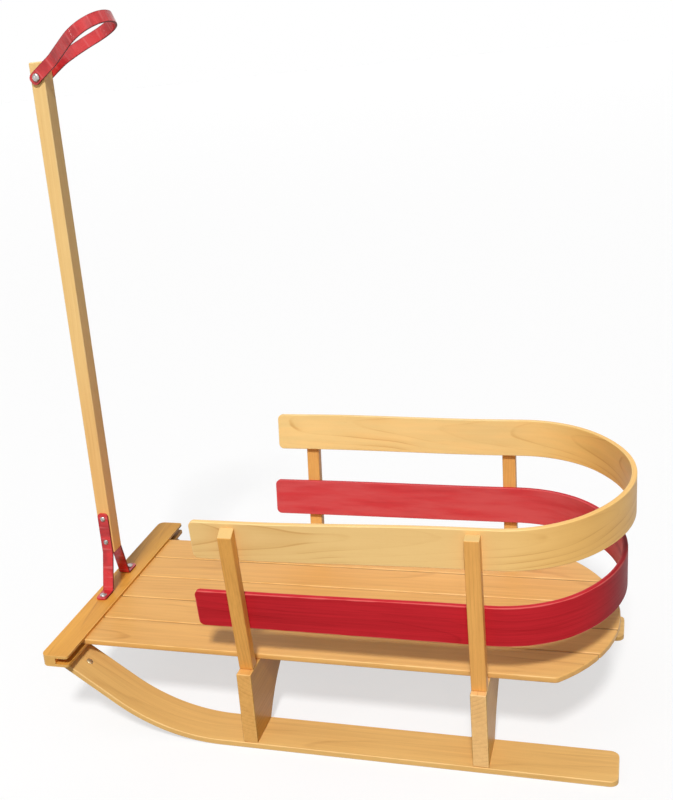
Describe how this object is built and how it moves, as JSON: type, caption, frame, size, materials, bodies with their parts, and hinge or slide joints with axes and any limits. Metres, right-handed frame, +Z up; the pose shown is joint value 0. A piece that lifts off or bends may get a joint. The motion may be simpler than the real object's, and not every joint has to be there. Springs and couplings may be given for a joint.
{
  "type": "wooden push sled",
  "caption": "Wooden child sled with bent skis, a slatted deck, a bentwood rail round three sides and an upright pole with a hand loop.",
  "frame": {"origin": "centre of the whole sled's box in plan, on the floor", "axes": "+X forward to the crossbar and pole, +Y to the sled's left, +Z up"},
  "size_m": [0.8924, 0.502, 1.0946],
  "materials": {
    "maple": "clear varnish, satin",
    "red_stained_wood": "red stain under satin varnish",
    "red_painted_steel": "gloss paint",
    "zinc": "zinc plated"
  },
  "bodies": {
    "sled": {"left_ski": "maple", "right_ski": "maple", "crossbar": "maple", "slat_1": "maple", "slat_2": "maple", "slat_3": "maple", "slat_4": "maple", "slat_5": "maple", "rear_trestle": "maple", "front_trestle": "maple", "left_rear_post": "maple", "right_rear_post": "maple", "left_front_post": "maple", "right_front_post": "maple", "upper_rail": "maple", "lower_rail": "red_stained_wood", "pole": "maple", "left_bracket": "red_painted_steel", "right_bracket": "red_painted_steel", "left_nose_strap": "zinc", "right_nose_strap": "zinc", "grip_bolt": "zinc"},
    "grip": {"grip_loop": "red_painted_steel"}
  },
  "joints": [
    {"name": "grip_pivot", "type": "hinge", "parent": "sled", "child": "grip", "pos_m": [0.426, 0, 1.0083], "axis": [0, 1, 0], "range_deg": [-108, 227]}
  ]
}
